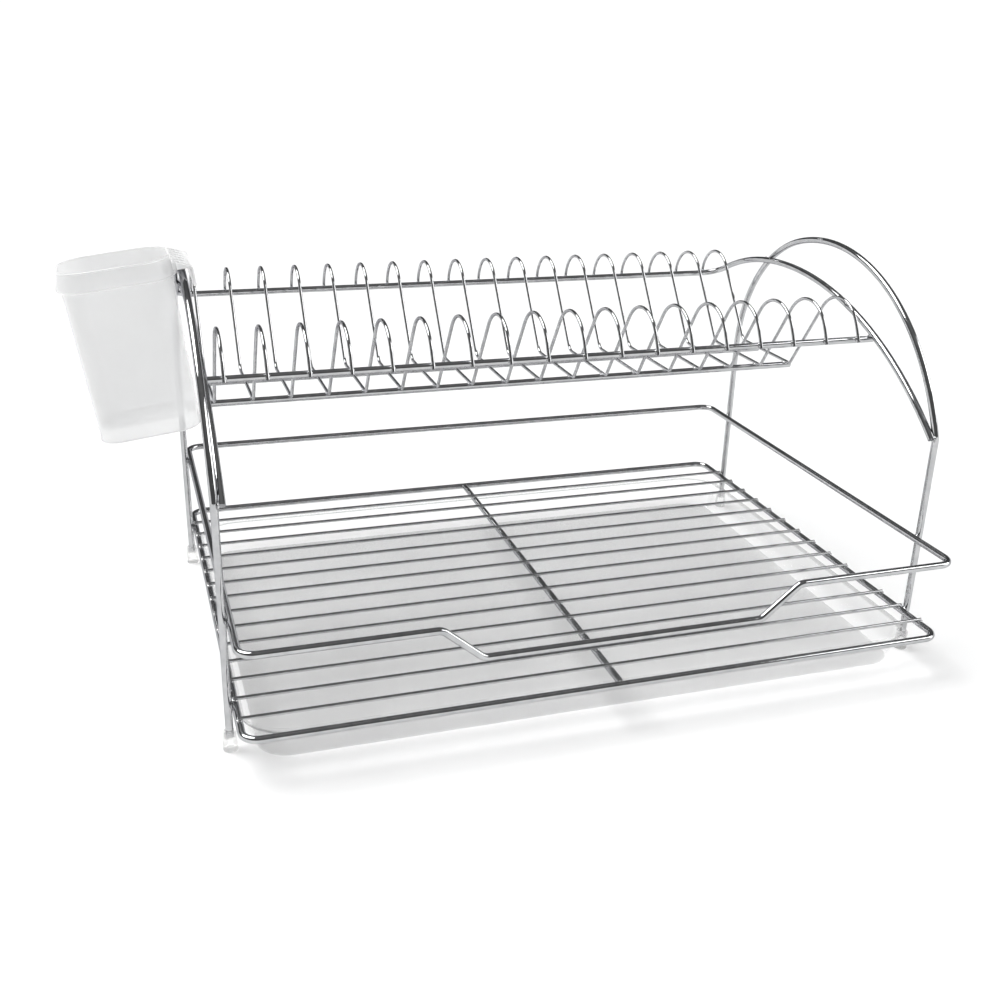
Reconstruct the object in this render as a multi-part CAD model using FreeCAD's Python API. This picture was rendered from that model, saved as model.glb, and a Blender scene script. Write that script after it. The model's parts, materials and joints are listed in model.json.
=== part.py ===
import FreeCAD, Part
import math
import os

# A two-tier dish drying rack: a welded frame of bent round wire, four clear end caps for feet,
# a clear drip tray that slides under the frame, and a cutlery cup that hooks over one side arch.
# All sizes are in millimetres. While a piece is built, x = 0 is the middle of the welded frame,
# y = 0 is the front rail of the base ring and z = 0 is the surface that the rack stands on.

Vector = FreeCAD.Vector
LEFT = Vector(-1, 0, 0)
RIGHT = Vector(1, 0, 0)
FRONT = Vector(0, -1, 0)
BACK = Vector(0, 1, 0)
DOWN = Vector(0, 0, -1)
UP = Vector(0, 0, 1)

# Wire and welds
frame_wire_d = 5.0
thin_wire_d = 2.5
frame_weld_bite = 0.4
thin_weld_bite = 0.3
frame_to_frame = frame_wire_d - frame_weld_bite
thin_to_frame = (frame_wire_d + thin_wire_d) / 2 - thin_weld_bite

# Base ring and the wires across it
base_length = 500.0
base_depth = 374.0
base_height = 32.5
ring_corner_r = 10.5
base_wire_count = 14
base_wire_pitch = 24.5
base_wire_front_margin = 21.3
base_wire_overhang = 0.8

# Guard rail above the base, with a dip in the middle of its front
guard_front_y = -3.0
guard_depth = 375.4
guard_rise = 60.5
dip_drop = 23.2
dip_bottom_half = 98.5
dip_top_half = 126.0
dip_bend_r = 8.5

# Side arches: each is one wire from the front foot, over the top, to the back foot
arch_x = base_length / 2 + frame_to_frame
leg_end_z = 10.2
front_leg_y = 43.8
kink_z = 170.0
kink_lean_deg = 20.6
kink_bend_r = 9.0
front_arc_r = 171.0
front_arc_past_top_deg = 16.0
rear_arc_r = 121.2

# Upper frame: one U-shaped wire with two arched arms joined by the back rail
arm_front_y = 42.5
arm_arc_y = 257.8
arm_arc_z = -65.0
arm_arc_r = 319.2
arm_past_top_deg = 5.6
arm_tail_arc_r = 239.0
arm_tail_slope_deg = 25.4
arm_corner_r = 16.8

# Rails of the plate tier
front_rail_y = 130.3
front_rail_overhang = 1.5
bottom_rail_half = 241.7
bottom_rail_z = 176.9
bottom_rail_ys = {"front_bottom_rail": 225.8, "rear_bottom_rail": 279.4}

# Plate dividers: thin wires that drop from a loop on each side to the two bottom rails
divider_count = 18
divider_pitch = 27.87
rear_loop_r = 25.4
rear_loop_drop = 1.2
front_loop_r = 28.0
front_tail_deg = 243.0
front_tail_run = 10.8
divider_tail = 3.0
valley_front_y = 217.6
valley_rear_y = 297.5
valley_front_bend_r = 5.2
valley_rear_bend_r = 9.4

# Feet: clear caps pressed onto the leg ends
foot_height = 14.6
foot_base_r = 5.0
foot_top_r = 4.1
foot_edge_r = 0.8
foot_bore_r = frame_wire_d / 2 - 0.05
foot_bore_floor_z = leg_end_z - 1.2

# Drip tray
tray_front_y = 14.5
tray_back_y = 362.5
tray_half_length = 248.0
tray_height = 25.0
tray_wall = 1.5
tray_lip = 3.5
tray_draft = 4.5
tray_base_corner_r = 24.0
tray_base_edge_r = 6.0

# Cutlery cup, built upright with its rim at z = 0 and then leaned on the arch
cup_height = 118.5
cup_wall = 1.6
cup_lean_deg = 7.4
collar_top_half = (37.0, 28.8)
collar_base_half = (39.5, 28.8)
collar_height = 13.0
collar_corner_r = 21.0
body_top_half = (36.3, 26.2)
body_base_half = (34.2, 25.3)
body_corner_r = 15.5
cup_floor_rise = 9.0
drain_hole_r = 2.2
drain_pitch = (15.0, 14.0)
hook_half_width = 27.0
hook_wall = 2.0
hook_web_z = -8.3
hook_shoulder_z = -2.6
hook_tip_z = -21.5
hook_reach = 49.6
hook_corner_r = 5.0
hook_edge_r = 4.5
hook_clearance = 0.3


class BentWire:
    """A round wire's centre line, made of straight runs and tangent bends."""

    def __init__(self, start, heading):
        self.start = start
        self.start_heading = heading
        self.point = start
        self.heading = heading
        self.edges = []

    def run(self, length):
        end = self.point + self.heading * length
        self.edges.append(Part.LineSegment(self.point, end).toShape())
        self.point = end

    def run_level_with(self, target):
        """Run straight until the wire is level with the target point."""
        self.run((target - self.point).dot(self.heading))

    def bend(self, heading, radius):
        """Turn the short way round to a new heading."""
        axis = self.heading.cross(heading).normalize()
        turn_deg = math.degrees(self.heading.getAngle(heading))
        centre = self.point + axis.cross(self.heading) * radius
        spoke = self.point - centre
        middle = centre + FreeCAD.Rotation(axis, turn_deg / 2).multVec(spoke)
        end = centre + FreeCAD.Rotation(axis, turn_deg).multVec(spoke)
        self.edges.append(Part.Arc(self.point, middle, end).toShape())
        self.point = end
        self.heading = FreeCAD.Vector(heading)

    def corner(self, corner, heading, radius):
        """Run towards a corner point and round it off on to a new heading."""
        tangent = radius * math.tan(self.heading.getAngle(heading) / 2)
        self.run_level_with(corner - self.heading * tangent)
        self.bend(heading, radius)

    def solid(self, diameter):
        section = Part.Wire(Part.Circle(self.start, self.start_heading, diameter / 2).toShape())
        return Part.Wire(self.edges).makePipeShell([section], True, False)


def side_heading(degrees):
    """Unit vector in a plane across the rack: 0 points back and 90 points up."""
    angle = math.radians(degrees)
    return Vector(0, math.cos(angle), math.sin(angle))


def straight_wire(start, end, diameter):
    return Part.makeCylinder(diameter / 2, (end - start).Length, start, end - start)


def base_ring():
    half = base_length / 2
    wire = BentWire(Vector(0, base_depth, base_height), LEFT)
    wire.corner(Vector(-half, base_depth, base_height), FRONT, ring_corner_r)
    wire.corner(Vector(-half, 0, base_height), RIGHT, ring_corner_r)
    wire.corner(Vector(half, 0, base_height), BACK, ring_corner_r)
    wire.corner(Vector(half, base_depth, base_height), LEFT, ring_corner_r)
    wire.run_level_with(wire.start)
    return wire.solid(frame_wire_d)


def base_wire(number):
    reach = base_length / 2 + base_wire_overhang
    y = base_wire_front_margin + (number - 1) * base_wire_pitch
    z = base_height + thin_to_frame
    return straight_wire(Vector(-reach, y, z), Vector(reach, y, z), thin_wire_d)


def base_centre_support():
    inset = frame_to_frame / 2
    start = Vector(0, inset, base_height)
    end = Vector(0, base_depth - inset, base_height)
    return straight_wire(start, end, frame_wire_d)


def guard_rail():
    half = base_length / 2
    z = base_height + guard_rise
    back_y = guard_front_y + guard_depth
    dip_z = z - dip_drop
    slant = Vector(dip_top_half - dip_bottom_half, 0, -dip_drop).normalize()
    rise = Vector(slant.x, 0, -slant.z)
    wire = BentWire(Vector(0, back_y, z), LEFT)
    wire.corner(Vector(-half, back_y, z), FRONT, ring_corner_r)
    wire.corner(Vector(-half, guard_front_y, z), RIGHT, ring_corner_r)
    wire.corner(Vector(-dip_top_half, guard_front_y, z), slant, dip_bend_r)
    wire.corner(Vector(-dip_bottom_half, guard_front_y, dip_z), RIGHT, dip_bend_r)
    wire.corner(Vector(dip_bottom_half, guard_front_y, dip_z), rise, dip_bend_r)
    wire.corner(Vector(dip_top_half, guard_front_y, z), RIGHT, dip_bend_r)
    wire.corner(Vector(half, guard_front_y, z), BACK, ring_corner_r)
    wire.corner(Vector(half, back_y, z), LEFT, ring_corner_r)
    wire.run_level_with(wire.start)
    return wire.solid(frame_wire_d)


def side_arch_wire(x):
    wire = BentWire(Vector(x, front_leg_y, leg_end_z), UP)
    wire.corner(Vector(x, front_leg_y, kink_z), side_heading(90 - kink_lean_deg), kink_bend_r)
    wire.bend(BACK, front_arc_r)
    wire.apex = wire.point
    wire.bend(side_heading(-front_arc_past_top_deg), front_arc_r)
    wire.bend(DOWN, rear_arc_r)
    wire.run(wire.point.z - leg_end_z)
    return wire


def upper_frame():
    half = base_length / 2
    start_deg = math.degrees(math.asin((arm_arc_y - arm_front_y) / arm_arc_r))
    start = Vector(-half, arm_arc_y, arm_arc_z) + side_heading(90 + start_deg) * arm_arc_r
    tail = side_heading(-arm_tail_slope_deg)
    wire = BentWire(start, side_heading(start_deg))
    wire.bend(side_heading(-arm_past_top_deg), arm_arc_r)
    wire.bend(tail, arm_tail_arc_r)
    wire.bend(RIGHT, arm_corner_r)
    wire.back_rail = wire.point
    wire.run(-2 * wire.point.x)
    wire.bend(tail * -1, arm_corner_r)
    wire.bend(side_heading(180 - arm_past_top_deg), arm_tail_arc_r)
    wire.bend(side_heading(180 + start_deg), arm_arc_r)
    return wire


def front_rail_z():
    """Height at which the front rail hangs welded under both arms."""
    hang_r = arm_arc_r - frame_to_frame
    return arm_arc_z + math.sqrt(hang_r ** 2 - (arm_arc_y - front_rail_y) ** 2)


def front_rail():
    half = base_length / 2 + front_rail_overhang
    z = front_rail_z()
    return straight_wire(Vector(-half, front_rail_y, z), Vector(half, front_rail_y, z), frame_wire_d)


def bottom_rail(y):
    start = Vector(-bottom_rail_half, y, bottom_rail_z)
    end = Vector(bottom_rail_half, y, bottom_rail_z)
    return straight_wire(start, end, frame_wire_d)


def leg_heading(loop_centre, loop_r, corner, side):
    """Heading of the straight leg that joins a loop and a valley corner."""
    reach = corner - loop_centre
    spread = math.degrees(math.acos(loop_r / reach.Length))
    touch_deg = math.degrees(math.atan2(reach.z, reach.y)) + side * spread
    return side_heading(touch_deg + 90)


def plate_divider(number, back_rail):
    x = (number - (divider_count + 1) / 2) * divider_pitch
    valley_z = bottom_rail_z + thin_to_frame
    rear_corner = Vector(x, valley_rear_y, valley_z)
    front_corner = Vector(x, valley_front_y, valley_z)

    rear_end = Vector(x, back_rail.y + thin_to_frame, back_rail.z - divider_tail)
    rear_loop = Vector(x, rear_end.y - rear_loop_r, back_rail.z - rear_loop_drop)
    tail = side_heading(front_tail_deg)
    tail_side = side_heading(front_tail_deg - 90)
    rail_touch = Vector(x, front_rail_y, front_rail_z()) + tail_side * thin_to_frame
    front_loop = rail_touch - tail * front_tail_run - tail_side * front_loop_r
    leg_up = leg_heading(front_loop, front_loop_r, front_corner, 1)

    wire = BentWire(rear_end, UP)
    wire.run_level_with(rear_loop)
    wire.bend(leg_heading(rear_loop, rear_loop_r, rear_corner, -1), rear_loop_r)
    wire.corner(rear_corner, FRONT, valley_rear_bend_r)
    wire.corner(front_corner, leg_up, valley_front_bend_r)
    wire.run_level_with(front_loop)
    wire.bend(tail, front_loop_r)
    wire.run(front_tail_run + divider_tail)
    return wire.solid(thin_wire_d)


def foot(x, y):
    cap = Part.makeCone(foot_base_r, foot_top_r, foot_height)
    cap = cap.makeFillet(foot_edge_r, cap.Edges)
    bore = Part.makeCylinder(foot_bore_r, foot_height, Vector(0, 0, foot_bore_floor_z))
    cap = cap.cut(bore)
    cap.translate(Vector(x, y, 0))
    return cap


def rounded_rectangle(half, corner_r, z):
    """Closed outline centred on the z axis, from its half length and half width."""
    wire = BentWire(Vector(0, half[1], z), LEFT)
    wire.corner(Vector(-half[0], half[1], z), FRONT, corner_r)
    wire.corner(Vector(-half[0], -half[1], z), RIGHT, corner_r)
    wire.corner(Vector(half[0], -half[1], z), BACK, corner_r)
    wire.corner(Vector(half[0], half[1], z), LEFT, corner_r)
    wire.run_level_with(wire.start)
    return Part.Wire(wire.edges)


def shrunk(half, inset):
    return (half[0] - inset, half[1] - inset)


def tapered_block(low, high):
    """Solid between two outlines, each given as (half sizes, corner radius, z)."""
    return Part.makeLoft([rounded_rectangle(*low), rounded_rectangle(*high)], True, True)


def drip_tray():
    half_depth = (tray_back_y - tray_front_y) / 2
    lip_half = (tray_half_length, half_depth)
    top_half = shrunk(lip_half, tray_lip)
    base_half = shrunk(top_half, tray_draft)
    top_corner_r = tray_base_corner_r + tray_draft
    wall_foot_z = tray_wall

    shell = tapered_block((base_half, tray_base_corner_r, 0), (top_half, top_corner_r, tray_height))
    shell = shell.makeFillet(tray_base_edge_r, [e for e in shell.Edges if e.BoundBox.ZMax < tray_wall])
    lip_low = (lip_half, top_corner_r + tray_lip, tray_height - tray_wall)
    lip_high = (lip_half, top_corner_r + tray_lip, tray_height)
    shell = shell.fuse(tapered_block(lip_low, lip_high))
    hollow = tapered_block((shrunk(base_half, tray_wall), tray_base_corner_r - tray_wall, wall_foot_z),
                           (shrunk(top_half, tray_wall), top_corner_r - tray_wall, tray_height + tray_wall))
    hollow_edges = [e for e in hollow.Edges if e.BoundBox.ZMax < 2 * tray_wall]
    hollow = hollow.makeFillet(tray_base_edge_r - tray_wall, hollow_edges)
    tray = shell.cut(hollow).removeSplitter()
    tray.translate(Vector(0, tray_front_y + half_depth, 0))
    return tray


def cup_body_half(z):
    """Outer half sizes of the cup's body at a height below the rim."""
    share = (z + cup_height) / (cup_height - collar_height)
    return tuple(low + (high - low) * share for low, high in zip(body_base_half, body_top_half))


def cup_hollow():
    floor_z = cup_floor_rise - cup_height
    shoulder_z = cup_wall - collar_height
    body = tapered_block((shrunk(cup_body_half(floor_z), cup_wall), body_corner_r - cup_wall, floor_z),
                         (shrunk(cup_body_half(shoulder_z), cup_wall), body_corner_r - cup_wall, shoulder_z))
    collar = tapered_block((shrunk(collar_base_half, cup_wall), collar_corner_r - cup_wall, shoulder_z),
                           (shrunk(collar_top_half, cup_wall), collar_corner_r - cup_wall, 0))
    return body.fuse(collar)


def cup_hook():
    """A web over the arch wire and a tongue down its far side."""
    root = collar_top_half[0] - collar_corner_r
    outline = Part.makePolygon([
        Vector(root, -hook_half_width, hook_web_z),
        Vector(hook_reach - hook_wall, -hook_half_width, hook_web_z),
        Vector(hook_reach - hook_wall, -hook_half_width, hook_tip_z),
        Vector(hook_reach, -hook_half_width, hook_tip_z),
        Vector(hook_reach, -hook_half_width, hook_web_z + hook_wall),
        Vector(collar_top_half[0], -hook_half_width, hook_shoulder_z),
        Vector(root, -hook_half_width, hook_shoulder_z),
        Vector(root, -hook_half_width, hook_web_z)])
    hook = Part.Face(outline).extrude(Vector(0, 2 * hook_half_width, 0))

    def tongue_corner(edge):
        box = edge.BoundBox
        return box.ZMax < hook_tip_z + 1 and box.XLength > hook_wall / 2 and box.YLength < 1

    def top_edge(edge):
        box = edge.BoundBox
        return box.XMin > hook_reach - 1 and box.ZMin > hook_web_z + 1 and box.YLength > 1

    hook = hook.makeFillet(hook_corner_r, [e for e in hook.Edges if tongue_corner(e)])
    return hook.makeFillet(hook_edge_r, [e for e in hook.Edges if top_edge(e)])


def cup_drain_holes():
    holes = []
    for column in (-1, 0, 1):
        for row in (-1, 0, 1):
            foot_point = Vector(column * drain_pitch[0], row * drain_pitch[1], -cup_height)
            holes.append(Part.makeCylinder(drain_hole_r, 2 * cup_floor_rise, foot_point))
    return Part.Compound(holes)


def cutlery_cup(arch_apex):
    body = tapered_block((body_base_half, body_corner_r, -cup_height),
                         (body_top_half, body_corner_r, -collar_height))
    collar = tapered_block((collar_base_half, collar_corner_r, -collar_height),
                           (collar_top_half, collar_corner_r, 0))
    recess_top = cup_floor_rise - cup_wall - cup_height
    recess = tapered_block((shrunk(body_base_half, cup_wall), body_corner_r - cup_wall, -cup_height - 1),
                           (shrunk(body_base_half, cup_wall), body_corner_r - cup_wall, recess_top))
    cup = body.fuse(collar).fuse(cup_hook())
    cup = cup.cut(cup_hollow()).cut(recess).cut(cup_drain_holes()).removeSplitter()

    wire_r = frame_wire_d / 2
    wire_in_cup = Vector(collar_base_half[0] + hook_clearance + wire_r, 0, hook_web_z - hook_clearance - wire_r)
    lean = cup_lean()
    cup.Placement = FreeCAD.Placement(arch_apex - lean.multVec(wire_in_cup), lean)
    return cup


def cup_lean():
    """The rim's arch side is higher and the base swings in under the rack."""
    return FreeCAD.Rotation(BACK, -cup_lean_deg)


def build_nodes():
    left_arch = side_arch_wire(-arch_x)
    right_arch = side_arch_wire(arch_x)
    frame_top = upper_frame()
    nodes = {
        "base_ring": base_ring(),
        "base_centre_support": base_centre_support(),
        "guard_rail": guard_rail(),
        "side_arch_left": left_arch.solid(frame_wire_d),
        "side_arch_right": right_arch.solid(frame_wire_d),
        "upper_frame": frame_top.solid(frame_wire_d),
        "front_rail": front_rail(),
        "drip_tray": drip_tray(),
        "cutlery_cup": cutlery_cup(left_arch.apex),
    }
    for number in range(1, base_wire_count + 1):
        nodes[f"base_wire_{number:02d}"] = base_wire(number)
    for name, y in bottom_rail_ys.items():
        nodes[name] = bottom_rail(y)
    for number in range(1, divider_count + 1):
        nodes[f"plate_divider_{number:02d}"] = plate_divider(number, frame_top.back_rail)
    for side, arch in (("left", left_arch), ("right", right_arch)):
        nodes[f"foot_front_{side}"] = foot(arch.start.x, arch.start.y)
        nodes[f"foot_back_{side}"] = foot(arch.point.x, arch.point.y)
    return nodes


def origin_shift(nodes):
    """Move that puts the origin at the middle of the whole rack's box, on the floor."""
    box = Part.Compound(list(nodes.values())).optimalBoundingBox(False)
    return Vector(-(box.XMin + box.XMax) / 2, -(box.YMin + box.YMax) / 2, 0)


nodes = build_nodes()
to_origin = origin_shift(nodes)
os.makedirs("parts", exist_ok=True)
for node_name, shape in nodes.items():
    shape.translate(to_origin)
    shape.exportStep(f"parts/{node_name}.step")
    print(f"{node_name}: {len(shape.Solids)} solid, valid {shape.isValid()}, {shape.Volume:.1f} mm3")
print("frame middle is at", to_origin)
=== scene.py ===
import json
import math

import bmesh
import bpy
from mathutils import Matrix, Vector, noise


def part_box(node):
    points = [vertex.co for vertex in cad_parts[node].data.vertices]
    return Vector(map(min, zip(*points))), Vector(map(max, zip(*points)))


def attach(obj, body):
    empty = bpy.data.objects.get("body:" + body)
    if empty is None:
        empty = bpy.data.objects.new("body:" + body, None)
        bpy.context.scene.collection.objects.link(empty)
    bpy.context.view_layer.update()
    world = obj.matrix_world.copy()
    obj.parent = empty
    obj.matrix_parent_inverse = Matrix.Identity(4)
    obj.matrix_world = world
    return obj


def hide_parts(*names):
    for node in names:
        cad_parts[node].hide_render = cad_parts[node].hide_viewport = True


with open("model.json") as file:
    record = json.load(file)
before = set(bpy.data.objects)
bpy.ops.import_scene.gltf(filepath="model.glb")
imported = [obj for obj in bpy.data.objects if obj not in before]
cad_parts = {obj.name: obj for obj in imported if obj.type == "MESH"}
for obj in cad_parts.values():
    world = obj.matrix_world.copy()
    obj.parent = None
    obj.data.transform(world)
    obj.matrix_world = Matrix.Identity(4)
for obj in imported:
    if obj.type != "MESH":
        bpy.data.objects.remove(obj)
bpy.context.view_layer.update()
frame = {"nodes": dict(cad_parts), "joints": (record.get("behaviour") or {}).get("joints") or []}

# Sizes are in metres. Shapes that the frame doesn't give are written in millimetres times MM.
MM = 0.001
X_AXIS = Vector((1, 0, 0))
Y_AXIS = Vector((0, 1, 0))
Z_AXIS = Vector((0, 0, 1))

# Nodes and places read from the frame
base_wires = sorted(name for name in frame["nodes"] if name.startswith("base_wire_"))
dividers = sorted(name for name in frame["nodes"] if name.startswith("plate_divider_"))
feet = sorted(name for name in frame["nodes"] if name.startswith("foot_"))
bottom_rails = ("front_bottom_rail", "rear_bottom_rail")
ring_low, ring_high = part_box("base_ring")
support_low, support_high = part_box("base_centre_support")
front_rail_low, front_rail_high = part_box("front_rail")
thin_low, thin_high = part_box(base_wires[0])
tray_low, tray_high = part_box("drip_tray")
guard_top_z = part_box("guard_rail")[1].z
upper_back_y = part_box("upper_frame")[1].y
wire_r = (front_rail_high.z - front_rail_low.z) / 2
thin_r = (thin_high.z - thin_low.z) / 2

# Places on the welded frame that no node's box gives: the back rail's height, the slant of the dividers'
# front ends, and where the upper frame's arms cross the side arches, back from the ring's front and up
BACK_RAIL_Z = 223.3 * MM
FRONT_TAIL_DEG = 243.0
ARM_TO_ARCH = ((43.5 * MM, 170.6 * MM), (299.0 * MM, 251.4 * MM))

# Weld nuggets: half sizes along one wire, along the other wire, and out of both
BASE_WELD = (2.3 * MM, 2.1 * MM, 1.0 * MM)
SUPPORT_WELD = (3.0 * MM, 2.0 * MM, 0.8 * MM)
DIVIDER_WELD = (2.0 * MM, 1.9 * MM, 0.8 * MM)
LEG_WELD = (2.6 * MM, 2.4 * MM, 0.9 * MM)
ARCH_WELD = (3.4 * MM, 2.6 * MM, 0.9 * MM)
WELD_UNEVENNESS = 0.10
WELD_SINK = 0.1 * MM
SIDE_WELD_SINK = 0.2 * MM

# Sheared wire ends: how far they dome out and how far the dome narrows, as shares of the wire's radius
END_DOME = 0.28
END_NARROWING = 0.55
END_OVERLAP = 0.2 * MM

# Drip tray
TRAY_WALL = 1.5 * MM
TRAY_LIP = 3.5 * MM
TRAY_DRAFT = 4.5 * MM
TRAY_LIP_CORNER_R = 32.0 * MM
TRAY_BASE_EDGE_R = 6.0 * MM
TRAY_LIP_EDGE_R = 0.6 * MM

# Cutlery cup, upright with its rim at z = 0: half sizes along x and y
CUP_HEIGHT = 118.5 * MM
CUP_WALL = 1.6 * MM
COLLAR_TOP = (37.0 * MM, 28.8 * MM)
COLLAR_BASE = (39.5 * MM, 28.8 * MM)
COLLAR_HEIGHT = 13.0 * MM
COLLAR_CORNER_R = 21.0 * MM
BODY_TOP = (36.3 * MM, 26.2 * MM)
BODY_BASE = (34.2 * MM, 25.3 * MM)
BODY_CORNER_R = 15.5 * MM
CUP_FLOOR_RISE = 9.0 * MM
CUP_FLOOR_EDGE_R = 2.5 * MM
CUP_EDGE_R = 0.5 * MM
DRAIN_HOLE_R = 2.2 * MM
DRAIN_PITCH = (15.0 * MM, 14.0 * MM)
DRAIN_CUT_DEPTH = 8.0 * MM
HOOK_HALF_WIDTH = 27.0 * MM
HOOK_REACH = 49.6 * MM
HOOK_WALL = 2.0 * MM
HOOK_WEB_Z = -8.3 * MM
HOOK_SHOULDER_Z = -2.6 * MM
HOOK_TIP_Z = -21.5 * MM
HOOK_CORNER_R = 5.0 * MM
HOOK_BEND_R = 2.0 * MM
HOOK_EDGE_R = 0.7 * MM
HOOK_ROOT_OVERLAP = 0.4 * MM
HOOK_RIBS = 6
HOOK_RIB_PITCH = 9.0 * MM
HOOK_RIB_HALF = (0.8 * MM, 0.9 * MM)
HOOK_RIB_CORNER_R = 0.6 * MM

# Mesh fineness
CREASE_DEG = 38
CORNER_STEPS = 16
ARC_STEPS = 8
BEAD_SUBDIVISIONS = 3
END_STEPS = 6
END_SIDES = 24
HOLE_SIDES = 32
FLAT_MARGIN = 2.0 * MM

# Studio floor: flat in the middle, with a rim that curves up
FLOOR_FLAT_R = 3.0
FLOOR_RIM_R = 9.0
FLOOR_LIFT = 1.4
FLOOR_DROP = 0.2 * MM
FLOOR_SIDES = 96

# Camera: the view from the front left, looking down on the rack
CAMERA_PLACE = Vector((-0.26374, -0.8197, 0.4451))
CAMERA_FORWARD = Vector((0.2956, 0.8777, -0.3771))
CAMERA_RIGHT = Vector((0.9507, -0.3091, 0.0258))
CAMERA_LENS_MM = 42.85


# ---------------------------------------------------------------- mesh helpers

def make_piece(name, bm):
    """Turn a bmesh into an object with smooth curved faces and crisp edges."""
    bmesh.ops.recalc_face_normals(bm, faces=bm.faces)
    mesh = bpy.data.meshes.new(name)
    bm.to_mesh(mesh)
    bm.free()
    piece = bpy.data.objects.new(name, mesh)
    bpy.context.scene.collection.objects.link(piece)
    shade(mesh)
    return piece


def shade(mesh):
    """Smooth shading with sharp edges where the faces turn by more than the crease angle."""
    for face in mesh.polygons:
        face.use_smooth = True
    mesh.set_sharp_from_angle(angle=math.radians(CREASE_DEG))


def rounded_rectangle(half_a, half_b, corner_r, steps=CORNER_STEPS):
    """Points (a, b) round a rounded rectangle that is centred on the origin."""
    points = []
    for quarter, (side_a, side_b) in enumerate(((1, 1), (-1, 1), (-1, -1), (1, -1))):
        for step in range(steps + 1):
            angle = math.radians(90 * (quarter + step / steps))
            points.append((side_a * (half_a - corner_r) + corner_r * math.cos(angle),
                           side_b * (half_b - corner_r) + corner_r * math.sin(angle)))
    return points


def level_outline(half_x, half_y, corner_r, z):
    """A rounded rectangle as points at one height."""
    return [Vector((x, y, z)) for x, y in rounded_rectangle(half_x, half_y, corner_r)]


def loft(bm, outlines):
    """Skin a row of outlines that have equal numbers of points, and close both ends."""
    rings = [[bm.verts.new(point) for point in outline] for outline in outlines]
    count = len(rings[0])
    for low, high in zip(rings, rings[1:]):
        for i in range(count):
            j = (i + 1) % count
            bm.faces.new((low[i], low[j], high[j], high[i]))
    bm.faces.new(rings[0])
    bm.faces.new(rings[-1])


def arc(centre, radius, start_deg, end_deg, steps=ARC_STEPS):
    """Points (across, up) round an arc in a section plane."""
    points = []
    for step in range(steps + 1):
        angle = math.radians(start_deg + (end_deg - start_deg) * step / steps)
        points.append((centre[0] + radius * math.cos(angle), centre[1] + radius * math.sin(angle)))
    return points


def boolean(piece, cutter, operation):
    """Apply a boolean with the cutter, which is used up."""
    modifier = piece.modifiers.new("cut", "BOOLEAN")
    modifier.operation = operation
    modifier.solver = "EXACT"
    modifier.object = cutter
    evaluated = piece.evaluated_get(bpy.context.evaluated_depsgraph_get())
    result = bpy.data.meshes.new_from_object(evaluated)
    piece.modifiers.remove(modifier)
    piece.data = result
    bpy.data.objects.remove(cutter)
    shade(result)


# ---------------------------------------------------------------- materials

class Shader:
    """A material with one Principled shader and short calls for its procedural inputs."""

    def __init__(self, name, **constants):
        self.material = bpy.data.materials.new(name)
        self.material.use_nodes = True
        self.nodes = self.material.node_tree.nodes
        self.links = self.material.node_tree.links
        self.principled = self.nodes["Principled BSDF"]
        for socket, value in constants.items():
            self.principled.inputs[socket.replace("_", " ")].default_value = value
        self.coordinates = self.nodes.new("ShaderNodeTexCoord").outputs["Object"]

    def stretched(self, stretch):
        mapping = self.nodes.new("ShaderNodeMapping")
        mapping.inputs["Scale"].default_value = stretch
        self.links.new(self.coordinates, mapping.inputs["Vector"])
        return mapping.outputs["Vector"]

    def noise(self, scale, detail=3.0, stretch=(1, 1, 1)):
        texture = self.nodes.new("ShaderNodeTexNoise")
        texture.inputs["Scale"].default_value = scale
        texture.inputs["Detail"].default_value = detail
        self.links.new(self.stretched(stretch), texture.inputs["Vector"])
        return texture.outputs["Fac"]

    def ranged(self, value, low, high, start=0.3, end=0.7):
        """Map a noise value on to a range for a number input."""
        node = self.nodes.new("ShaderNodeMapRange")
        node.inputs["From Min"].default_value = start
        node.inputs["From Max"].default_value = end
        node.inputs["To Min"].default_value = low
        node.inputs["To Max"].default_value = high
        self.links.new(value, node.inputs["Value"])
        return node.outputs["Result"]

    def tinted(self, value, low, high):
        """Map a noise value on to a range of colours."""
        ramp = self.nodes.new("ShaderNodeValToRGB")
        ramp.color_ramp.elements[0].position = 0.3
        ramp.color_ramp.elements[0].color = (*low, 1)
        ramp.color_ramp.elements[1].position = 0.7
        ramp.color_ramp.elements[1].color = (*high, 1)
        self.links.new(value, ramp.inputs["Fac"])
        return ramp.outputs["Color"]

    def feed(self, socket, output):
        self.links.new(output, self.principled.inputs[socket])

    def bump(self, layers):
        """Stack bump layers, each (height, strength, distance)."""
        normal = None
        for height, strength, distance in layers:
            node = self.nodes.new("ShaderNodeBump")
            node.inputs["Strength"].default_value = strength
            node.inputs["Distance"].default_value = distance
            self.links.new(height, node.inputs["Height"])
            if normal is not None:
                self.links.new(normal, node.inputs["Normal"])
            normal = node.outputs["Normal"]
        self.feed("Normal", normal)


def chrome(name, roughness_low, roughness_high):
    """Bright plating over drawn wire: soft ripples, fine pitting and faint water haze."""
    shader = Shader(name, Metallic=1.0, Specular_Tint=(0.42, 0.42, 0.44, 1.0))
    shader.feed("Base Color", shader.tinted(shader.noise(140), (0.45, 0.455, 0.465), (0.56, 0.563, 0.57)))
    shader.feed("Roughness", shader.ranged(shader.noise(420), roughness_low, roughness_high))
    shader.bump([(shader.noise(260, 2.0), 0.10, 0.2 * MM), (shader.noise(2600, 2.0), 0.06, 0.03 * MM)])
    return shader.material


def weld_metal():
    """Plated weld nuggets: the same chrome, a little rougher and greyer."""
    shader = Shader("plated_weld", Metallic=1.0)
    shader.feed("Base Color", shader.tinted(shader.noise(600), (0.42, 0.425, 0.43), (0.62, 0.62, 0.625)))
    shader.feed("Roughness", shader.ranged(shader.noise(900), 0.14, 0.3))
    shader.bump([(shader.noise(1500), 0.25, 0.1 * MM)])
    return shader.material


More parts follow.
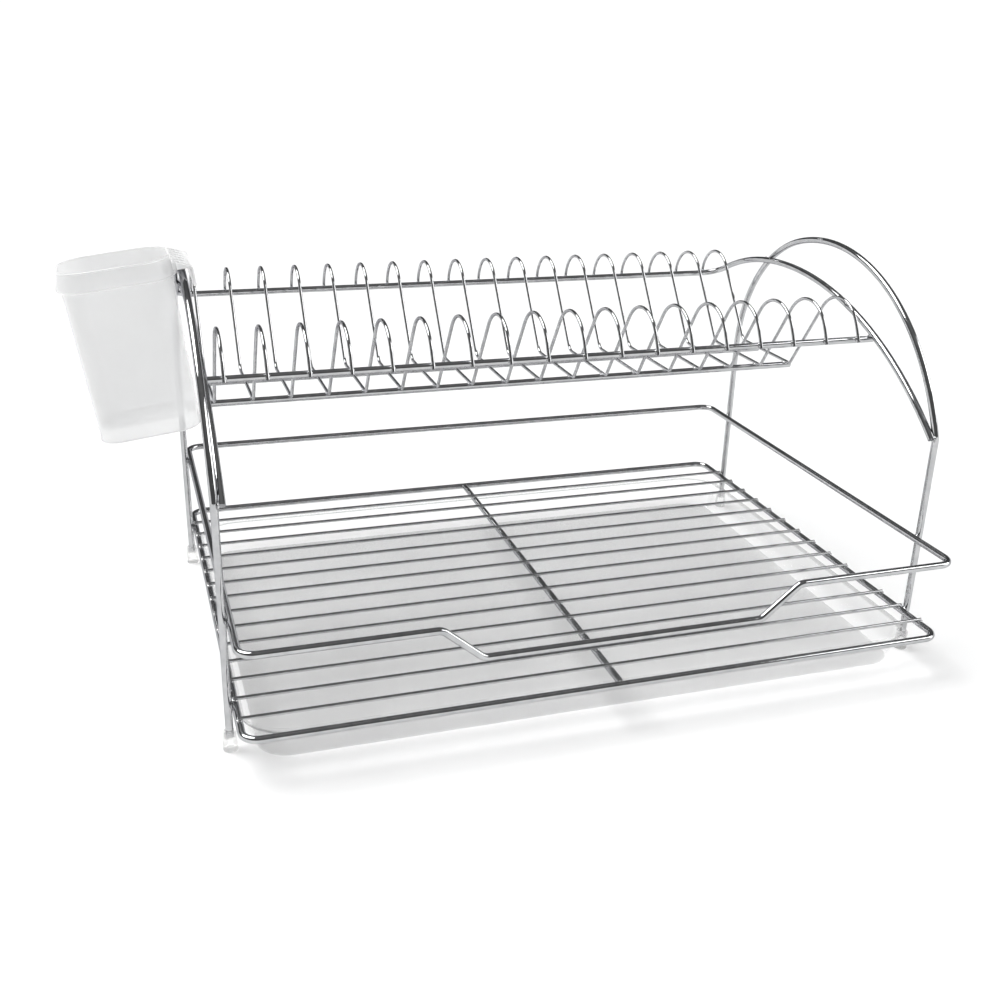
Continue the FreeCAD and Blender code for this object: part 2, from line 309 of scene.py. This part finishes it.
def clear_tray(name, alpha, grey):
    """Clear moulded plastic with a grey tint, faint flow waves and rubbed spots."""
    low = (grey - 0.02, grey - 0.018, grey - 0.015)
    high = (grey + 0.02, grey + 0.021, grey + 0.023)
    shader = Shader(name, Transmission_Weight=1.0, IOR=1.49, Alpha=alpha)
    shader.feed("Base Color", shader.tinted(shader.noise(14), low, high))
    shader.feed("Roughness", shader.ranged(shader.noise(90, 5.0), 0.02, 0.07))
    shader.bump([(shader.noise(16, 1.0), 0.12, 0.5 * MM), (shader.noise(900, 2.0), 0.04, 0.05 * MM)])
    return shader.material


def milky_cup(name, alpha):
    """Milky plastic: the walls behind show through faintly."""
    shader = Shader(name, IOR=1.5, Alpha=alpha)
    shader.feed("Base Color", shader.tinted(shader.noise(22), (0.89, 0.893, 0.896), (0.94, 0.942, 0.944)))
    shader.feed("Roughness", shader.ranged(shader.noise(120, 5.0), 0.10, 0.20))
    flow_marks = shader.noise(110, 1.0, (1, 1, 0.06))
    shader.bump([(flow_marks, 0.25, 0.5 * MM), (shader.noise(1200, 2.0), 0.05, 0.05 * MM)])
    return shader.material


def clear_feet():
    """Soft clear plastic caps that have gone slightly cloudy."""
    shader = Shader("clear_feet", Transmission_Weight=0.9, IOR=1.47, Alpha=0.5)
    shader.feed("Base Color", shader.tinted(shader.noise(300), (0.88, 0.875, 0.86), (0.95, 0.95, 0.94)))
    shader.feed("Roughness", shader.ranged(shader.noise(700), 0.14, 0.28))
    shader.bump([(shader.noise(900), 0.12, 0.05 * MM)])
    return shader.material


def pale_floor():
    """A pale studio floor with a faint glow of its own, which keeps the shadows light."""
    glow = {"Emission_Color": (1, 1, 1, 1), "Emission_Strength": 0.08}
    shader = Shader("pale_floor", Specular_IOR_Level=0.3, **glow)
    shader.feed("Base Color", shader.tinted(shader.noise(0.6), (0.915, 0.918, 0.92), (0.93, 0.93, 0.93)))
    shader.feed("Roughness", shader.ranged(shader.noise(3), 0.45, 0.55))
    return shader.material


def paint(piece, material):
    """Give the whole piece one material."""
    piece.data.materials.clear()
    piece.data.materials.append(material)


def paint_faces(piece, material, is_chosen):
    """Give one more material to the faces that the test picks."""
    piece.data.materials.append(material)
    index = len(piece.data.materials) - 1
    for face in piece.data.polygons:
        if is_chosen(face):
            face.material_index = index


# ---------------------------------------------------------------- welds and wire ends

def weld_bead(bm, centre, along, across, half_sizes):
    """A flattened nugget squeezed out where two wires cross, each one a little different."""
    up = along.cross(across)
    turn = Matrix((along, across, up)).transposed()
    made = bmesh.ops.create_icosphere(bm, subdivisions=BEAD_SUBDIVISIONS, radius=1.0)
    for vertex in made["verts"]:
        uneven = 1 + WELD_UNEVENNESS * noise.noise(vertex.co * 1.7 + centre * 900)
        local = Vector(a * b for a, b in zip(vertex.co, half_sizes)) * uneven
        vertex.co = centre + turn @ local


def domed_end(bm, tip, outward, radius):
    """The sheared end of a wire, softened by its plating."""
    side = outward.orthogonal().normalized()
    other = outward.cross(side)
    turns = [math.tau * k / END_SIDES for k in range(END_SIDES)]
    outlines = []
    for step in range(END_STEPS):
        angle = math.radians(90 * step / END_STEPS)
        ring_r = radius * (1 - (1 - math.cos(angle)) * END_NARROWING)
        centre = tip + outward * radius * END_DOME * math.sin(angle)
        outlines.append([centre + (side * math.cos(a) + other * math.sin(a)) * ring_r for a in turns])
    base = [point - outward * END_OVERLAP for point in outlines[0]]
    loft(bm, [base] + outlines)


def middle(node):
    """The middle of a node's box."""
    low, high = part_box(node)
    return (low + high) / 2


def base_welds():
    """Nuggets under the base wires, and at both ends of the middle support."""
    bm = bmesh.new()
    for name in base_wires:
        place = middle(name)
        for x in (ring_low.x + wire_r, support_low.x + wire_r, ring_high.x - wire_r):
            contact = Vector((x, place.y, ring_high.z - WELD_SINK))
            weld_bead(bm, contact, X_AXIS, Y_AXIS, BASE_WELD)
    for y in (support_low.y, support_high.y):
        contact = Vector((support_low.x + wire_r, y, ring_high.z - wire_r))
        weld_bead(bm, contact, X_AXIS, Z_AXIS, SUPPORT_WELD)
    return make_piece("base_welds", bm)


def wire_ends(name, wires, radius):
    """Domed caps on both ends of straight wires that run along x."""
    bm = bmesh.new()
    for wire in wires:
        low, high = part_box(wire)
        place = middle(wire)
        domed_end(bm, Vector((low.x, place.y, place.z)), -X_AXIS, radius)
        domed_end(bm, Vector((high.x, place.y, place.z)), X_AXIS, radius)
    return make_piece(name, bm)


def divider_welds():
    """Nuggets where each divider meets the bottom rails, the front rail and the back rail."""
    tail_angle = math.radians(FRONT_TAIL_DEG)
    front_tail = Vector((0, math.cos(tail_angle), math.sin(tail_angle)))
    front_out = Vector((0, front_tail.z, -front_tail.y))
    front_rail = middle("front_rail")
    bm = bmesh.new()
    for name in dividers:
        x = middle(name).x
        for rail in bottom_rails:
            contact = Vector((x, middle(rail).y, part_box(rail)[1].z - WELD_SINK))
            weld_bead(bm, contact, Y_AXIS, X_AXIS, DIVIDER_WELD)
        contact = Vector((x, front_rail.y, front_rail.z)) + front_out * (wire_r - WELD_SINK)
        weld_bead(bm, contact, front_tail, X_AXIS, DIVIDER_WELD)
        contact = Vector((x, upper_back_y - WELD_SINK, BACK_RAIL_Z))
        weld_bead(bm, contact, Z_AXIS, X_AXIS, DIVIDER_WELD)
    return make_piece("divider_welds", bm)


def frame_welds():
    """Nuggets between the side arches and the loops and arms that they carry."""
    front_y = ring_low.y + wire_r
    ring_z = (ring_low.z + ring_high.z) / 2
    guard_z = guard_top_z - wire_r
    rail = middle("front_rail")
    bm = bmesh.new()
    for side, plane_x, inward in (("left", ring_low.x, 1), ("right", ring_high.x, -1)):
        contact_x = plane_x + inward * SIDE_WELD_SINK
        for foot in (f"foot_front_{side}", f"foot_back_{side}"):
            leg_y = middle(foot).y
            for z in (ring_z, guard_z):
                weld_bead(bm, Vector((contact_x, leg_y, z)), Y_AXIS, Z_AXIS, LEG_WELD)
        for y, z in ARM_TO_ARCH:
            weld_bead(bm, Vector((contact_x, front_y + y, z)), Y_AXIS, Z_AXIS, ARCH_WELD)
        arm_x = plane_x + inward * wire_r
        weld_bead(bm, Vector((arm_x, rail.y, rail.z + wire_r - WELD_SINK)), Y_AXIS, X_AXIS, LEG_WELD)
    return make_piece("frame_welds", bm)


# ---------------------------------------------------------------- drip tray

def tray_section():
    """The tray's wall section as (inset from the lip's edge, z), from under its floor to on top of it."""
    height = tray_high.z - tray_low.z
    slope = TRAY_DRAFT / height
    lean_deg = math.degrees(math.atan(slope))
    base_inset = TRAY_LIP + TRAY_DRAFT
    edge = TRAY_LIP_EDGE_R
    lip_under = height - TRAY_WALL

    stretch = 1 / math.cos(math.radians(lean_deg))
    outer_centre = (base_inset + TRAY_BASE_EDGE_R * (stretch - slope), TRAY_BASE_EDGE_R)
    section = arc(outer_centre, TRAY_BASE_EDGE_R, 270, 180 + lean_deg)
    section.append((base_inset - slope * (lip_under - edge), lip_under - edge))
    section.append((base_inset - slope * lip_under - edge, lip_under))
    section += arc((edge, lip_under + edge), edge, 270, 180, 4)
    section += arc((edge, height - edge), edge, 180, 90, 4)

    inner_top = TRAY_LIP + TRAY_WALL
    section += arc((inner_top - edge, height - edge), edge, 90, 10, 4)
    inner_r = TRAY_BASE_EDGE_R - TRAY_WALL
    centre_z = TRAY_WALL + inner_r
    inner_centre = (inner_top + slope * (height - centre_z) + inner_r * stretch, centre_z)
    section += arc(inner_centre, inner_r, 180 + lean_deg, 270)
    return section


def drip_tray():
    """The tray: its wall section carried round a rounded rectangle, in three copies of clear plastic: clear
    walls, a greyer and more opaque floor that is partly the tray's own tint and partly painted shade under
    the rack, and a more opaque lip that paints a highlight line along the rim.
    """
    centre = (tray_low + tray_high) / 2
    half_x = (tray_high.x - tray_low.x) / 2
    half_y = (tray_high.y - tray_low.y) / 2
    section = tray_section()
    section.insert(0, (section[0][0] + FLAT_MARGIN, section[0][1]))
    section.append((section[-1][0] + FLAT_MARGIN, section[-1][1]))
    outlines = [level_outline(half_x - inset, half_y - inset, TRAY_LIP_CORNER_R - inset, z)
                for inset, z in section]
    bm = bmesh.new()
    loft(bm, outlines)
    bmesh.ops.translate(bm, verts=bm.verts, vec=Vector((centre.x, centre.y, tray_low.z)))
    tray = make_piece("tray_shell", bm)
    paint(tray, clear_tray("tray_clear_wall", 0.09, 0.95))
    # A greyer, more opaque copy on the floor: partly the tray's own grey tint, partly painted shade under
    # the rack.
    paint_faces(tray, clear_tray("tray_grey_floor_painted_shade", 0.31, 0.80),
                lambda face: face.center.z < tray_low.z + 1.1 * TRAY_WALL and abs(face.normal.z) > 0.9)
    # A more opaque copy on the lip paints a highlight line along the rim.
    paint_faces(tray, clear_tray("tray_lip_painted_highlight", 0.42, 0.86),
                lambda face: face.center.z > tray_high.z - 1.1 * TRAY_WALL)
    return tray


# ---------------------------------------------------------------- cutlery cup

def body_half(z):
    """Outer half sizes of the cup's body at a height below the rim."""
    share = (z + CUP_HEIGHT) / (CUP_HEIGHT - COLLAR_HEIGHT)
    return tuple(low + (high - low) * share for low, high in zip(BODY_BASE, BODY_TOP))


def cup_outlines():
    """The cup's outlines in order, from the recess under its floor, round the rim, to its floor."""
    edge = CUP_EDGE_R
    foot_z = -CUP_HEIGHT
    recess_z = foot_z + CUP_FLOOR_RISE - CUP_WALL
    floor_z = foot_z + CUP_FLOOR_RISE
    step_z = -COLLAR_HEIGHT
    inner_step_z = step_z + CUP_WALL
    rows = []

    def row(half, corner_r, inset, z):
        rows.append(level_outline(half[0] - inset, half[1] - inset, corner_r - inset, z))

    row(BODY_BASE, BODY_CORNER_R, CUP_WALL + edge + FLAT_MARGIN, recess_z)
    row(BODY_BASE, BODY_CORNER_R, CUP_WALL + edge, recess_z)
    row(BODY_BASE, BODY_CORNER_R, CUP_WALL, recess_z - edge)
    row(BODY_BASE, BODY_CORNER_R, CUP_WALL, foot_z + edge)
    for inset, z in arc((CUP_WALL - edge, foot_z + edge), edge, 0, -90, 3)[1:]:
        row(BODY_BASE, BODY_CORNER_R, inset, z)
    for inset, z in arc((edge, foot_z + edge), edge, 270, 180, 3):
        row(BODY_BASE, BODY_CORNER_R, inset, z)
    row(BODY_TOP, BODY_CORNER_R, 0, step_z - 2 * edge)
    row(BODY_TOP, BODY_CORNER_R, -edge * 0.6, step_z - edge * 0.5)
    row(BODY_TOP, BODY_CORNER_R, -edge * 1.6, step_z)
    row(COLLAR_BASE, COLLAR_CORNER_R, edge * 0.8, step_z)
    row(COLLAR_BASE, COLLAR_CORNER_R, 0, step_z + edge * 0.8)
    for inset, z in arc((2 * edge, -2 * edge), 2 * edge, 180, 90, 5):
        row(COLLAR_TOP, COLLAR_CORNER_R, inset, z)
    for inset, z in arc((CUP_WALL - edge * 0.8, -edge * 0.8), edge * 0.8, 90, 0, 4):
        row(COLLAR_TOP, COLLAR_CORNER_R, inset, z)
    row(COLLAR_BASE, COLLAR_CORNER_R, CUP_WALL, inner_step_z + edge)
    row(COLLAR_BASE, COLLAR_CORNER_R, CUP_WALL + edge, inner_step_z)
    row(BODY_TOP, BODY_CORNER_R, CUP_WALL - edge, inner_step_z)
    row(BODY_TOP, BODY_CORNER_R, CUP_WALL, inner_step_z - edge)
    floor_half = body_half(floor_z)
    floor_inset = CUP_WALL + CUP_FLOOR_EDGE_R
    for inset, z in arc((floor_inset, floor_z + CUP_FLOOR_EDGE_R), CUP_FLOOR_EDGE_R, 180, 270, 6):
        row(floor_half, BODY_CORNER_R, inset, z)
    row(floor_half, BODY_CORNER_R, floor_inset + FLAT_MARGIN, floor_z)
    return rows


def hook_rows():
    """Sections along the hook: (x, z, outward angle, half thickness, half width)."""
    wall = HOOK_WALL / 2
    bend_x = HOOK_REACH - wall - HOOK_BEND_R
    bend_z = HOOK_WEB_Z + wall - HOOK_BEND_R
    root_x = COLLAR_TOP[0] - HOOK_ROOT_OVERLAP
    rows = []

    # The web, which thins from its shoulder at the collar to the bend
    for share in (0, 0.25, 0.5, 0.75):
        thick = (HOOK_SHOULDER_Z - HOOK_WEB_Z) / 2 * (1 - share) + wall * share
        rows.append((root_x + (bend_x - root_x) * share, HOOK_WEB_Z + thick, 90, thick, HOOK_HALF_WIDTH))

    # The bend
    for step in range(7):
        angle = 90 - 15 * step
        x = bend_x + HOOK_BEND_R * math.cos(math.radians(angle))
        z = bend_z + HOOK_BEND_R * math.sin(math.radians(angle))
        rows.append((x, z, angle, wall, HOOK_HALF_WIDTH))

    # The flap's end, which narrows round its corners and thins at its very edge
    for step in range(10):
        angle = math.radians(9 * step)
        z = HOOK_TIP_Z + HOOK_CORNER_R * (1 - math.sin(angle))
        half_width = HOOK_HALF_WIDTH - HOOK_CORNER_R * (1 - math.cos(angle))
        thin = 1 if step < 8 else 1 - 0.3 * (step - 7)
        rows.append((HOOK_REACH - wall, z, 0, wall * thin, half_width))
    return rows


def cup_hook():
    """The hook: a web that leaves the collar, a bend, and a flap that hangs down with round corners."""
    bm = bmesh.new()
    outlines = []
    for x, z, angle, half_thick, half_width in hook_rows():
        out = Vector((math.cos(math.radians(angle)), 0, math.sin(math.radians(angle))))
        section = rounded_rectangle(half_width, half_thick, min(HOOK_EDGE_R, half_thick * 0.7), 5)
        outlines.append([Vector((x, 0, z)) + Y_AXIS * a + out * b for a, b in section])
    loft(bm, outlines)
    return make_piece("hook_form", bm)


def hook_ribs():
    """Low stiffening ribs that run down the hook's sloping top, away from the collar."""
    bend_x = HOOK_REACH - HOOK_WALL - HOOK_BEND_R
    web_top_z = HOOK_WEB_Z + HOOK_WALL
    section = rounded_rectangle(*HOOK_RIB_HALF, HOOK_RIB_CORNER_R, 4)
    bm = bmesh.new()
    for rib in range(HOOK_RIBS):
        y = (rib - (HOOK_RIBS - 1) / 2) * HOOK_RIB_PITCH
        outlines = []
        for share in (0.02, 0.5, 1.04):
            x = COLLAR_TOP[0] + (bend_x - COLLAR_TOP[0]) * share
            z = HOOK_SHOULDER_Z + (web_top_z - HOOK_SHOULDER_Z) * share
            outlines.append([Vector((x, y + a, z + b)) for a, b in section])
        loft(bm, outlines)
    return make_piece("rib_form", bm)


def drain_holes():
    """The cutters for the round holes through the cup's floor."""
    bm = bmesh.new()
    for column in (-1, 0, 1):
        for row in (-1, 0, 1):
            place = Vector((column * DRAIN_PITCH[0], row * DRAIN_PITCH[1], CUP_FLOOR_RISE - CUP_HEIGHT))
            bmesh.ops.create_cone(bm, cap_ends=True, segments=HOLE_SIDES, radius1=DRAIN_HOLE_R,
                                  radius2=DRAIN_HOLE_R, depth=DRAIN_CUT_DEPTH,
                                  matrix=Matrix.Translation(place))
    return make_piece("hole_form", bm)


def is_cup_edge(face):
    """The faces along the rim, the collar's lower edge and the foot, which get a more opaque copy of the
    plastic as a painted highlight line.
    """
    z = face.center.z
    return min(abs(z), abs(z + COLLAR_HEIGHT), abs(z + CUP_HEIGHT)) < 0.7 * CUP_WALL


def is_hook(face):
    """Whether the face is beyond the collar, where only the hook is."""
    return face.center.x > COLLAR_BASE[0] + 0.3 * MM


def cutlery_cup():
    bm = bmesh.new()
    loft(bm, cup_outlines())
    cup = make_piece("cup_shell", bm)
    boolean(cup, cup_hook(), "UNION")
    boolean(cup, hook_ribs(), "UNION")
    boolean(cup, drain_holes(), "DIFFERENCE")
    paint(cup, milky_cup("cup_milky_wall", 0.40))
    # A more opaque copy of the milky plastic on the edges paints highlight lines along the rim, the
    # collar's lower edge and the foot.
    paint_faces(cup, milky_cup("cup_edge_painted_highlight", 0.80), is_cup_edge)
    paint_faces(cup, milky_cup("cup_dense_hook", 0.93), is_hook)

    # Lean the cup to its lifting axis and move it to where the frame has it
    up = next(Vector(joint["axis"]) for joint in frame["joints"] if joint["name"] == "cup_lift")
    cup.data.transform(Matrix.Rotation(math.atan2(up.x, up.z), 4, "Y"))
    low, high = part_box("cutlery_cup")
    points = [vertex.co for vertex in cup.data.vertices]
    now = [(min(p[i] for p in points) + max(p[i] for p in points)) / 2 for i in range(3)]
    cup.data.transform(Matrix.Translation((low + high) / 2 - Vector(now)))
    return cup


# ---------------------------------------------------------------- the object

frame_chrome = chrome("frame_chrome", 0.035, 0.085)
thin_chrome = chrome("thin_wire_chrome", 0.045, 0.10)
weld_chrome = weld_metal()
foot_plastic = clear_feet()

for name, node in frame["nodes"].items():
    if name in feet:
        paint(node, foot_plastic)
    elif name in base_wires or name in dividers:
        paint(node, thin_chrome)
    else:
        paint(node, frame_chrome)

details = (
    (base_welds(), "thin_wire"),
    (wire_ends("base_wire_ends", base_wires, thin_r), "thin_wire"),
    (divider_welds(), "thin_wire"),
    (wire_ends("rail_ends", ("front_rail",) + bottom_rails, wire_r), "frame_wire"),
    (frame_welds(), "frame_wire"),
)
for piece, slot_name in details:
    paint(piece, weld_chrome)
    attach(piece, "frame")

tray = drip_tray()
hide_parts("drip_tray")
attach(tray, "tray")

cup = cutlery_cup()
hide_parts("cutlery_cup")
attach(cup, "cup")


# ---------------------------------------------------------------- studio

def studio_floor():
    """A wide pale floor that curves up at its edge, a hair lower than the tray's underside."""
    rim_width = FLOOR_RIM_R - FLOOR_FLAT_R
    turns = [math.tau * k / FLOOR_SIDES for k in range(FLOOR_SIDES)]
    bm = bmesh.new()
    centre = bm.verts.new((0, 0, -FLOOR_DROP))
    rings = []
    for radius in [0.5, 1.0, 2.0, FLOOR_FLAT_R] + [FLOOR_FLAT_R + rim_width * k / 12 for k in range(1, 13)]:
        z = FLOOR_LIFT * max(0.0, (radius - FLOOR_FLAT_R) / rim_width) ** 2 - FLOOR_DROP
        rings.append([bm.verts.new((radius * math.cos(a), radius * math.sin(a), z)) for a in turns])
    for i in range(FLOOR_SIDES):
        j = (i + 1) % FLOOR_SIDES
        bm.faces.new((centre, rings[0][i], rings[0][j]))
        for inner, outer in zip(rings, rings[1:]):
            bm.faces.new((inner[i], outer[i], outer[j], inner[j]))
    floor = make_piece("studio_floor", bm)
    paint(floor, pale_floor())


def soft_light(name, towards, spread_deg, strength):
    """A far, soft light that lights the whole floor evenly, from the direction given."""
    light = bpy.data.lights.new(name, "SUN")
    light.angle = math.radians(spread_deg)
    light.energy = strength
    lamp = bpy.data.objects.new(name, light)
    lamp.rotation_mode = "QUATERNION"
    lamp.rotation_quaternion = Vector(towards).to_track_quat("Z", "Y")
    bpy.context.scene.collection.objects.link(lamp)


def studio_sky():
    """White round the horizon and dim above it, so that the wires show dark edges."""
    world = bpy.data.worlds.new("studio_sky")
    world.use_nodes = True
    bpy.context.scene.world = world
    nodes = world.node_tree.nodes
    links = world.node_tree.links
    coordinates = nodes.new("ShaderNodeTexCoord")
    split = nodes.new("ShaderNodeSeparateXYZ")
    ramp = nodes.new("ShaderNodeValToRGB")
    links.new(coordinates.outputs["Generated"], split.inputs["Vector"])
    links.new(split.outputs["Z"], ramp.inputs["Fac"])
    links.new(ramp.outputs["Color"], nodes["Background"].inputs["Color"])
    nodes["Background"].inputs["Strength"].default_value = 1.0

    # Each stop is how steeply a direction points up, and the grey there
    stops = [(0.0, 1.05), (0.16, 1.0), (0.24, 0.10), (0.60, 0.12), (1.0, 0.20)]
    elements = ramp.color_ramp.elements
    for position, _ in stops[2:]:
        elements.new(position)
    for element, (position, grey) in zip(elements, stops):
        element.position = position
        element.color = (grey, grey, grey, 1)


def studio_camera():
    """The main view. The camera's up follows from its forward and right."""
    data = bpy.data.cameras.new("main_view")
    data.lens = CAMERA_LENS_MM
    camera = bpy.data.objects.new("main_view", data)
    forward = CAMERA_FORWARD.normalized()
    up = CAMERA_RIGHT.cross(forward).normalized()
    right = forward.cross(up)
    turn = Matrix((right, up, -forward)).transposed().to_4x4()
    camera.matrix_world = Matrix.Translation(CAMERA_PLACE) @ turn
    bpy.context.scene.collection.objects.link(camera)
    bpy.context.scene.camera = camera


studio_floor()
studio_sky()

# The key light stands high behind on the left, so that the rails keep a dark side towards the camera.
# The right light whitens the guard rail's slant, and the front right light puts a bright band on the rails.
soft_light("key_light", (-0.43, 0.28, 0.86), 42, 2.9)
soft_light("right_light", (0.88, -0.22, 0.42), 32, 0.9)
soft_light("front_right_light", (0.64, -0.40, 0.66), 22, 0.45)
soft_light("back_light", (-0.25, 0.88, 0.42), 3, 0.02)

studio_camera()
bpy.context.scene.view_settings.view_transform = "Standard"
